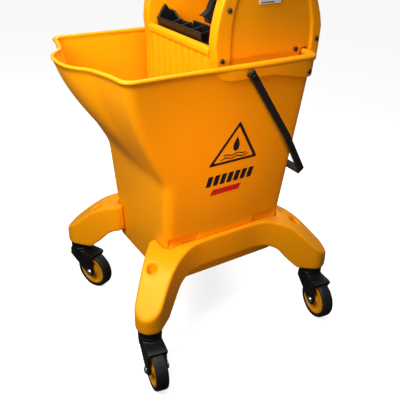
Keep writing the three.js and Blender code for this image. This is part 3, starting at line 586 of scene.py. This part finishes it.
def skirt_band():
    """The band round the outside of the rim, from ahead of the bail's pivots round the rear."""
    levels = np.arange(RIM_Z - 44, RIM_Z + 1, 3.0)
    table = np.array([bucket_ring(z) for z in levels])
    ahead, behind = np.roll(table, -1, axis=1), np.roll(table, 1, axis=1)
    run = ahead - behind
    outward = np.stack([run[..., 1], -run[..., 0]], axis=-1)
    outward /= np.linalg.norm(outward, axis=-1, keepdims=True)
    rim = table[-1]
    chosen = [i for i in range(RING_POINTS) if rim[i, 1] > SKIRT["front_y"]]
    points, rows = [], []
    for i in chosen:
        y = rim[i, 1]
        drop = float(np.interp(y, SKIRT["steps_y"], (SKIRT["depth"], SKIRT["rear_depth"])))
        lead = math.sqrt(max(0.0, 1 - (1 - min((y - SKIRT["front_y"]) / SKIRT["lead"], 1)) ** 2))
        stand = SKIRT["stand"] * (0.05 + 0.95 * lead ** 2)
        foot = RIM_Z - SKIRT["lead_depth"] - (drop - SKIRT["lead_depth"]) * lead
        radius, inset = bead(y)
        rim_stand = radius - inset - 0.2
        section = [(-1.4, RIM_Z - radius), (-1.4, foot + 2)]
        section += filleted([
            (-0.4, foot),
            (stand, foot),
            (max(stand * 0.8, rim_stand * lead), RIM_Z - 10),
            (rim_stand, RIM_Z - radius + 0.4),
        ], 2.4)
        row = []
        for reach, z in section:
            base = [np.interp(z, levels, table[:, i, axis]) for axis in (0, 1)]
            way = [np.interp(z, levels, outward[:, i, axis]) for axis in (0, 1)]
            row.append(len(points))
            points.append(place(base[0] + way[0] * reach, base[1] + way[1] * reach, z))
        rows.append(row)
    faces = [face for first, second in zip(rows, rows[1:]) for face in bridge(first, second)]
    faces += [rows[0][::-1], rows[-1]]
    return points, faces


def add_bucket():
    """The bucket's shell with its rolled rim and side hollows, and the skirt round its rear."""
    rows = bucket_wall_rings()
    points = [point for row in rows for point in row]
    numbered = [list(range(i * RING_POINTS, (i + 1) * RING_POINTS)) for i in range(len(rows))]
    faces = [face for first, second in zip(numbered, numbered[1:]) for face in bridge(first, second)]
    faces += [numbered[0][::-1], numbered[-1]]
    add_piece("bucket_shell", points, faces, "chassis", YELLOW, "yellow_plastic", ["bucket"], 60)
    add_piece("bucket_skirt", *skirt_band(), "chassis", YELLOW, "yellow_plastic", flat_angle=60)


add_bucket()


# ---- printed panel on the lever side ----
def on_wall(y, z, lift):
    """A point standing off the lever-side wall."""
    return place(softened(half_width, z) + lift, y, z)


def add_prints():
    """A plain triangle round a drop over water, a row of slanted dashes and a slanted bar."""
    ink_low, ink_high = 0.05, 0.35
    triangle_foot, line, drop_z = 341, 4.4, 374

    def shape(outline):
        return prism(outline, ink_low, ink_high, on_wall)

    corners = [(-50, triangle_foot), (44, triangle_foot), (0, 413)]
    centre = np.mean(corners, axis=0)
    outer = filleted(corners, 2.0, closed=True)
    inner_share = 1 - line / (centre[1] - triangle_foot)
    inner = [centre + (np.array(corner) - centre) * inner_share for corner in outer]
    count = len(outer)
    frame_points = []
    for lift in (ink_low, ink_high):
        frame_points += [on_wall(y, z, lift) for y, z in outer] + [on_wall(y, z, lift) for y, z in inner]
    low_out, low_in, high_out, high_in = (list(range(i * count, (i + 1) * count)) for i in range(4))
    frame_faces = bridge(low_out, low_in) + bridge(high_out, high_in)
    frame_faces += bridge(low_out, high_out) + bridge(low_in, high_in)
    drop = [(8.0 * math.sin(t) * math.sin(t / 2) ** 1.2 - 1, drop_z + 13 * math.cos(t))
            for t in np.linspace(0.25, 2 * math.pi - 0.25, 30)]
    black = [(frame_points, frame_faces), shape(drop)]
    for level, half in ((355.5, 21), (350, 26)):
        crest = [(y - 2, level + 1.3 * math.sin(y / 3.4)) for y in np.linspace(-half, half, 40)]
        band = [(y, z + 1.0) for y, z in crest] + [(y, z - 1.0) for y, z in reversed(crest)]
        black.append(shape(band))
    pitch, width, slant, dash_low, dash_high = 13.3, 9.2, 4.0, 303, 322
    for step in range(7):
        y = -51 + step * pitch
        dash = [(y, dash_low), (y + width, dash_low), (y + width + slant, dash_high), (y + slant, dash_high)]
        black.append(shape(filleted(dash, 1.2, closed=True)))
    add_piece("print_black", *merged(*black), "chassis", INK_BLACK, "black_plastic")
    bar_low, bar_high = 284, 295
    bar = filleted([(-41, bar_low), (16, bar_low), (21, bar_high), (-36, bar_high)], 1.5, closed=True)
    add_piece("print_red", *shape(bar), "chassis", INK_RED, "yellow_plastic")


add_prints()


# ---- leg frames ----
LEG_HOLE = {"x": 113, "y": 150, "z": 165, "radius": 7.4, "height": 55}


def add_leg_frame(side, sign):
    """A leg frame with moulded edges and a round hole by each leg's root, in place of its CAD node."""
    node = frame["nodes"][f"leg_frame_{side}"]
    piece = bpy.data.objects.new(f"legs_{side}", node.data.copy())
    piece.matrix_world = node.matrix_world
    bpy.context.collection.objects.link(piece)
    round_corners(piece, 1.7, 34)
    bake(piece)
    paint(piece, YELLOW)
    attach(piece, "chassis")
    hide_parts(node.name)
    radius, height = LEG_HOLE["radius"], LEG_HOLE["height"]
    for end in (-1, 1):
        foot = place(sign * LEG_HOLE["x"], end * LEG_HOLE["y"], LEG_HOLE["z"])
        cut_recess(piece, *turned([(0, 0), (radius, 0), (radius, height), (0, height)], foot, (0, 0, 1), 48))
    for polygon in piece.data.polygons:
        polygon.use_smooth = True


for leg_side, leg_sign in SIDES.items():
    add_leg_frame(leg_side, leg_sign)


# ---- castors ----
def castor_joint(name, kind):
    """A castor's joint, by its kind: swivel or roll."""
    wanted = f"castor_{name}_{kind}"
    return next(joint for joint in frame["joints"] if joint["name"] == wanted)


def add_castor(name):
    """Tyre, wheel centre, axle bolt and neck rings of one castor, on its rolling and swivelling axes."""
    roll = castor_joint(name, "roll")
    hub, axle = Vector(roll["pos_m"]), Vector(roll["axis"])
    half = 11.0
    tread = [(30.0, -half + 1.0), (33.6, -half), (36.0, -half + 0.9), (37.2, -half + 3.2), (37.5, -4.0),
             (37.5, 4.0), (37.2, half - 3.2), (36.0, half - 0.9), (33.6, half), (30.0, half - 1.0)]
    add_piece(f"castor_{name}_tread", *turned(filleted(tread, 1.2, True, 3), hub, axle, 96, True),
              f"wheel_{name}", RUBBER, "tyre_rubber", [f"castor_{name}_tyre"], 50)
    outside = [(29.8, 9.6), (27.6, 10.4), (25.6, 9.8), (24.6, 7.2), (20.0, 5.6), (13.0, 5.9), (10.4, 7.0),
               (9.8, 10.2), (8.6, 10.6), (4.8, 10.6)]
    section = outside + [(radius, -along) for radius, along in reversed(outside)]
    add_piece(f"castor_{name}_disc", *turned(filleted(section, 1.0, True, 3), hub, axle, 80, True),
              f"wheel_{name}", DISC, "wheel_plastic", [f"castor_{name}_wheel_core"], 50)
    reach, shank, seat = 20.5, 4.0, 18.1
    bolt = [(0, -reach - 0.6), (3.0, -reach - 0.3), (5.4, -reach + 0.9), (6.6, -reach + 2.6), (6.6, -seat),
            (shank, -seat), (shank, seat), (6.5, seat), (6.5, 20.0), (5.0, reach + 0.2), (0, reach + 0.6)]
    add_piece(f"castor_{name}_bolt", *turned(filleted(bolt, 0.8), hub, axle, 48),
              f"swivel_{name}", ZINC, "bright_steel", [f"castor_{name}_axle_bolt"], 50)
    fork_top = node_span(f"castor_{name}_fork")[1].z
    swivel = Vector(castor_joint(name, "swivel")["pos_m"])
    swivel.z = 0
    rings = [(15, 1.0), (19.9, 0.2), (20.2, 1.4), (20.2, 7.6), (19.2, 8.6), (19.2, 11.0), (20.0, 11.8),
             (20.0, 15), (17, 17)]
    collar = [(radius, fork_top - below) for radius, below in rings]
    add_piece(f"castor_{name}_collar", *turned(filleted(collar, 0.7, True, 3), swivel, (0, 0, 1), 64, True),
              f"swivel_{name}", BLACK, "black_plastic", flat_angle=50)
    soften(f"castor_{name}_fork", BLACK, 0.9, 5)
    add_stem(name, swivel)


def add_stem(name, swivel):
    """The plated pin that a castor swivels on."""
    low, high = node_span(f"castor_{name}_stem")
    radius = (high.x - low.x) / 2
    shape = [(0, low.z), (radius, low.z), (radius, high.z), (0, high.z)]
    add_piece(f"castor_{name}_spindle", *turned(filleted(shape, 0.8), swivel, (0, 0, 1), 40),
              "chassis", ZINC, "bright_steel", [f"castor_{name}_stem"])


for castor_name in CASTOR_NAMES:
    add_castor(castor_name)


# ---- bail ----
def add_bail():
    """The bail's bar, and the shouldered pins that it swings on."""
    chamfer("bail", BLACK, 0.9)
    for side, sign in SIDES.items():
        low, high = node_span(f"bail_pin_{side}")
        span = high.x - low.x
        centre = place(0, (low.y + high.y) / 2, (low.z + high.z) / 2)
        centre.x = (low.x if sign > 0 else high.x) * MM
        shoulder, seat = span - 6.2, span - 0.9
        shape = [(0, 0), (3.9, 0), (3.9, shoulder), (3, shoulder), (3, seat), (3.8, seat), (3.4, span - 0.2),
                 (1.5, span), (0, span)]
        add_piece(f"bail_pivot_{side}", *turned(filleted(shape, 0.3), centre, (sign, 0, 0), 48),
                  "chassis", BLACK, "black_plastic", [f"bail_pin_{side}"])


add_bail()


# ---- wringer ----
for side in SIDES:
    soften(f"side_frame_{side}", YELLOW, 1.5, 14)
chamfer("press_arm", BLACK, 1.0)
for plate, voxel, rounds in (("back_plate", 1.3, 4), ("rear_cover", 1.4, 6), ("drain_grate", 1.2, 4)):
    soften(plate, YELLOW, voxel, rounds)
soften("press_jaw", BLACK, 1.1, 3)
soften("jaw_channel", BLACK, 0.9, 3)
soften("lever_socket", BLACK, 1.0, 5)


def add_front_plate():
    """The upright plate with rounded flutes, and the rolled bar along its top."""
    low, high = node_span("front_plate")
    pitch, flute_half, rise = 20.0, 5.2, 3.0
    across = np.arange(low.x, high.x + 0.01, 1.0)
    across[-1] = high.x
    rear_y, face_y, fade_z, top_z = -31.0, -36.0, 500, 510
    levels = np.concatenate([[low.z, low.z + 2], np.linspace(low.z + 5, fade_z, 12), [504, 507, top_z]])
    offset = (across + pitch / 2) % pitch - pitch / 2
    swell = 1 - smoothstep(np.abs(offset), flute_half - 2.6, flute_half + 2.4)
    swell[np.abs(across) > 4.5 * pitch] = 0
    points, front_rows, back_rows = [], [], []
    for z in levels:
        fade = float(smoothstep(z, low.z, low.z + 6) * (1 - smoothstep(z, fade_z, top_z)))
        front_rows.append(list(range(len(points), len(points) + len(across))))
        points += [place(x, face_y - rise * s * fade, z) for x, s in zip(across, swell)]
    for z in levels:
        back_rows.append(list(range(len(points), len(points) + len(across))))
        points += [place(x, rear_y, z) for x in across]
    faces = []
    for rows in (front_rows, back_rows):
        faces += [face for a, b in zip(rows, rows[1:]) for face in bridge(a, b, False)]
    faces += bridge(front_rows[0], back_rows[0], False) + bridge(front_rows[-1], back_rows[-1], False)
    for end in (0, -1):
        column = [row[end] for row in front_rows]
        back = [row[end] for row in back_rows]
        faces += bridge(column, back, False)
    roll = [(-28, 508), (-28, 519), (-34, 521), (-41, 519), (-41.5, 511), (-38, 506), (-32, 506)]
    section = filleted(roll, 4.0, True, 5)
    ends = [low.x, low.x + 0.6, high.x - 0.6, high.x]
    bar_points, bar_rows = [], []
    for x in ends:
        bar_rows.append(list(range(len(bar_points), len(bar_points) + len(section))))
        bar_points += [place(x, y, z) for y, z in section]
    bar_faces = [face for a, b in zip(bar_rows, bar_rows[1:]) for face in bridge(a, b)]
    bar_faces += [bar_rows[0][::-1], bar_rows[-1]]
    add_piece("front_plate_fluted", *merged((points, faces), (bar_points, bar_faces)),
              "chassis", YELLOW, "yellow_plastic", ["front_plate"], 50)


add_front_plate()


def add_rod(name, node, body, finish, chamfer_mm):
    """A plain round bar along X in place of a faceted CAD one."""
    low, high = node_span(node)
    radius = (high.z - low.z) / 2
    start = place(low.x, (low.y + high.y) / 2, (low.z + high.z) / 2)
    span = high.x - low.x
    shape = [(0, 0), (radius, 0), (radius, span), (0, span)]
    add_piece(name, *turned(filleted(shape, chamfer_mm), start, (1, 0, 0), 48), body, finish,
              "bright_steel", [node])


add_rod("cross_shaft", "drive_shaft", "lever", STEEL, 1.2)
add_rod("jaw_rod", "jaw_hinge_rod", "chassis", ZINC, 0.8)


def add_press_pin():
    """The stepped pin at the press arm's end, which runs in the jaw's fork."""
    low, high = node_span("press_pin")
    start = place(low.x, (low.y + high.y) / 2, (low.z + high.z) / 2)
    span = high.x - low.x
    shoulder = 14.4
    shape = [(0, 0), (4.8, 0), (4.8, shoulder), (6, shoulder), (6, span), (0, span)]
    add_piece("press_roller", *turned(filleted(shape, 0.7), start, (1, 0, 0), 40),
              "lever", ZINC, "bright_steel", ["press_pin"])


add_press_pin()


def add_bush(side, sign):
    """The flanged bush that the cross shaft turns in."""
    low, high = node_span(f"shaft_bush_{side}")
    start = place(low.x if sign > 0 else high.x, (low.y + high.y) / 2, (low.z + high.z) / 2)
    span = high.x - low.x
    seat = span - 3.6
    bore, sleeve, collar = 8.3, 12.0, 16.0
    shape = [(bore, 0), (sleeve, 0), (sleeve, seat), (collar, seat), (collar, span), (bore, span)]
    add_piece(f"shaft_collar_{side}", *turned(filleted(shape, 0.8, True), start, (sign, 0, 0), 56, True),
              "chassis", BLACK, "black_plastic", [f"shaft_bush_{side}"])


def add_screw(name, node, side_sign):
    """A pan-head screw with a cross recess cut into its head, in place of a plain CAD one."""
    low, high = node_span(node)
    centre_y, centre_z = (low.y + high.y) / 2, (low.z + high.z) / 2
    head_high, head_radius, shank_radius = 2.0, 3.8, 2.0
    shank = high.x - low.x - head_high
    face = high.x - head_high if side_sign > 0 else low.x + head_high
    start = place(face - side_sign * shank, centre_y, centre_z)
    shape = [(0, 0), (shank_radius, 0), (shank_radius, shank), (head_radius, shank),
             (head_radius - 0.3, shank + 1.2), (head_radius - 1.4, shank + 1.9), (0, shank + head_high)]
    body = turned(filleted(shape, 0.35, False, 2), start, (side_sign, 0, 0), 40)
    screw = add_piece(name, *body, "chassis", SCREW_STEEL, "bright_steel", [node])

    def on_head(u, v, w):
        return place(face + side_sign * w, centre_y + u, centre_z + v)

    for long_y, long_z in ((2.0, 0.45), (0.45, 2.0)):
        outline = [(-long_y, -long_z), (long_y, -long_z), (long_y, long_z), (-long_y, long_z)]
        cut_recess(screw, *prism(outline, 0.9, 3.0, on_head))


for side, sign in SIDES.items():
    add_bush(side, sign)
    add_screw(f"skirt_fixing_{side}", f"skirt_screw_{side}", sign)
    for screw_number in (1, 2, 3, 4):
        add_screw(f"screw_{side}_{screw_number}", f"panel_screw_{side}_{screw_number}", sign)


def add_return_spring():
    """The coiled wire round the cross shaft that brings the lever back."""
    low, high = node_span("return_spring")
    turns, wire, coil = 5, 1.4, 13.5
    centre = Vector((0, (low.y + high.y) / 2, (low.z + high.z) / 2))
    start, pitch = low.x + wire, (high.x - low.x - 2 * wire) / turns
    steps, sides = turns * 36, 10
    points, rows = [], []
    for step in range(steps + 1):
        angle = 2 * math.pi * turns * step / steps
        out = Vector((0, math.cos(angle), math.sin(angle)))
        base = Vector((start + pitch * turns * step / steps, centre.y, centre.z)) + out * coil
        rows.append(list(range(len(points), len(points) + sides)))
        for corner in range(sides):
            turn = 2 * math.pi * corner / sides
            point = base + (out * math.cos(turn) + Vector((1, 0, 0)) * math.sin(turn)) * wire
            points.append(place(*point))
    faces = [face for a, b in zip(rows, rows[1:]) for face in bridge(a, b)] + [rows[0][::-1], rows[-1]]
    add_piece("torsion_spring", points, faces, "chassis", ZINC, "bright_steel", ["return_spring"])


add_return_spring()


def add_data_plate():
    """A plain white plate with grey bars where print would be."""
    low, high = node_span("label_plate")
    size_y, size_z = high.y - low.y, high.z - low.z

    def on_plate(u, v, w):
        return place(low.x + w, low.y + u, low.z + v)

    plate = filleted([(0, 0), (size_y, 0), (size_y, size_z), (0, size_z)], 2.0, True)
    add_piece("data_plate", *prism(plate, 0, high.x - low.x, on_plate), "chassis", LABEL, "label_white",
              ["label_plate"])
    bars = []
    margin, row_pitch, bar_high, gap = 3.0, 4.6, 1.8, 2.2
    for row, lengths in enumerate(((9, 14), (20,), (6, 12, 8), (16, 9), (24,))):
        v = size_z - 4.2 - row * row_pitch
        u = margin
        for length in lengths:
            bar = [(u, v - bar_high), (u + length, v - bar_high), (u + length, v), (u, v)]
            bars.append(prism(bar, 0.75, 0.95, on_plate))
            u += length + gap
    add_piece("data_plate_bars", *merged(*bars), "chassis", INK_GREY, "label_white")


add_data_plate()


# ---- lever ----
LEVER = {"lean_deg": 20, "x": 137, "reach": 300, "tube": 11, "foot": 31}


def lever_axis():
    """Where the lever's centre line starts, on the cross shaft's axis, and its direction."""
    low, high = node_span("drive_shaft")
    lean = math.radians(LEVER["lean_deg"])
    start = place(LEVER["x"], (low.y + high.y) / 2, (low.z + high.z) / 2)
    return start, Vector((0, math.sin(lean), math.cos(lean)))


def add_lever():
    """The steel tube, its ribbed handgrip and the bolt through its foot."""
    start, way = lever_axis()
    tube, reach, foot = LEVER["tube"], LEVER["reach"], LEVER["foot"]
    bar = [(0, foot), (tube, foot), (tube, reach - 8), (0, reach - 8)]
    add_piece("lever_bar", *turned(filleted(bar, 1.0), start, way, 64), "lever", STEEL, "bright_steel",
              ["lever_tube"])
    grip_foot, ribs = reach - 112, 17
    outer = [(tube + 0.3, grip_foot), (tube + 4.5, grip_foot), (tube + 4.5, grip_foot + 5),
             (tube + 3.2, grip_foot + 8)]
    for step in range(ribs):
        along = grip_foot + 11 + step * 5.0
        groove = tube + 2.7 + 0.9 * math.sin(math.pi * step / (ribs - 1))
        crest = groove + 1.1
        outer += [(groove, along - 1.4), (crest, along), (crest, along + 1.6), (groove, along + 2.8)]
    outer += [(tube + 4.6, reach - 11), (tube + 4.2, reach - 4), (tube + 1.5, reach + 0.5), (0, reach + 2)]
    add_piece("lever_handgrip", *turned(filleted(outer, 0.8, False, 3), start, way, 64), "lever", GRIP,
              "grip_rubber", ["lever_grip"], 70)
    chamfer("lever_bolt", ZINC, 0.5)


add_lever()


def add_bail_grip():
    """The ribbed sleeve round the bail's crossbar."""
    low, high = node_span("bail_grip")
    start = place(low.x, (low.y + high.y) / 2, (low.z + high.z) / 2)
    span = high.x - low.x
    radius, ribs = 7.0, 20
    rib, collar = radius + 1.0, radius + 1.4
    shape = [(0, 0), (collar, 0), (collar, 3)]
    for step in range(ribs):
        along = 5 + step * (span - 10) / (ribs - 1)
        shape += [(radius, along - 1.6), (rib, along - 0.6), (rib, along + 0.6), (radius, along + 1.6)]
    shape += [(collar, span - 3), (collar, span), (0, span)]
    add_piece("bail_sleeve", *turned(filleted(shape, 0.6, False, 2), start, (1, 0, 0), 48), "bail", GRIP,
              "grip_rubber", ["bail_grip"], 70)


add_bail_grip()


# ---- floor, light ----
def add_stage():
    """A pale floor that runs past the view on every side and sends no light back up."""
    mesh = bpy.data.meshes.new("floor")
    reach = 6.0
    corners = [(-reach, -reach, 0), (reach, -reach, 0), (reach, reach, 0), (-reach, reach, 0)]
    mesh.from_pydata(corners, [], [[0, 1, 2, 3]])
    floor = bpy.data.objects.new("floor", mesh)
    bpy.context.collection.objects.link(floor)
    floor.visible_diffuse = False
    floor.visible_glossy = False
    shader = Shader("floor_paint", 0.8)
    shader.surface.inputs["Specular IOR Level"].default_value = 0
    shader.surface.inputs["Emission Color"].default_value = (1, 1, 1, 1)
    shader.surface.inputs["Emission Strength"].default_value = 0.76
    tone = shader.noise(3, 2, 0.5)
    shader.drive(shader.blend(tone, (0.62, 0.62, 0.62), (0.65, 0.65, 0.65)))
    mesh.materials.append(shader.material)


def add_lamp(name, kind, power, colour, where, aim):
    """A lamp at one point, in millimetres, facing another."""
    data = bpy.data.lights.new(name, kind)
    data.energy = power
    data.color = colour
    lamp = bpy.data.objects.new(name, data)
    lamp.location = place(*where)
    lamp.rotation_mode = "QUATERNION"
    lamp.rotation_quaternion = (lamp.location - place(*aim)).to_track_quat("Z", "Y")
    lamp.visible_camera = False
    bpy.context.collection.objects.link(lamp)
    return data


def add_sky():
    """A soft surround, brighter overhead than below."""
    world = bpy.data.worlds.new("studio")
    world.use_nodes = True
    tree = world.node_tree
    background = tree.nodes["Background"]
    direction = tree.nodes.new("ShaderNodeTexCoord")
    split = tree.nodes.new("ShaderNodeSeparateXYZ")
    rise = tree.nodes.new("ShaderNodeMapRange")
    tree.links.new(direction.outputs["Generated"], split.inputs["Vector"])
    tree.links.new(split.outputs["Z"], rise.inputs["Value"])
    limits = {"From Min": -0.25, "From Max": 0.75, "To Min": 0.05, "To Max": 0.30}
    for key, limit in limits.items():
        rise.inputs[key].default_value = limit
    tree.links.new(rise.outputs["Result"], background.inputs["Strength"])
    background.inputs["Color"].default_value = (1.0, 0.985, 0.96, 1)
    bpy.context.scene.world = world


def add_light():
    """Soft boxes ahead and overhead, and a warm lamp with a soft cone on the lever-side wall."""
    add_sky()
    white, warm = (1.0, 0.98, 0.95), (1.0, 0.62, 0.38)
    add_lamp("key", "AREA", 8.4, white, (230, -620, 880), (20, -60, 280)).size = 0.5
    add_lamp("top", "AREA", 5.0, white, (160, -80, 1150), (0, -20, 400)).size = 0.6
    add_lamp("back", "AREA", 5.0, white, (-520, 480, 900), (0, -60, 450)).size = 0.5
    side = add_lamp("side", "SPOT", 23, warm, (900, -300, 450), (130, -60, 355))
    side.spot_size = math.radians(33)
    side.spot_blend = 1.0
    side.shadow_soft_size = 0.12
    bpy.context.scene.view_settings.view_transform = "Standard"


add_stage()
add_light()
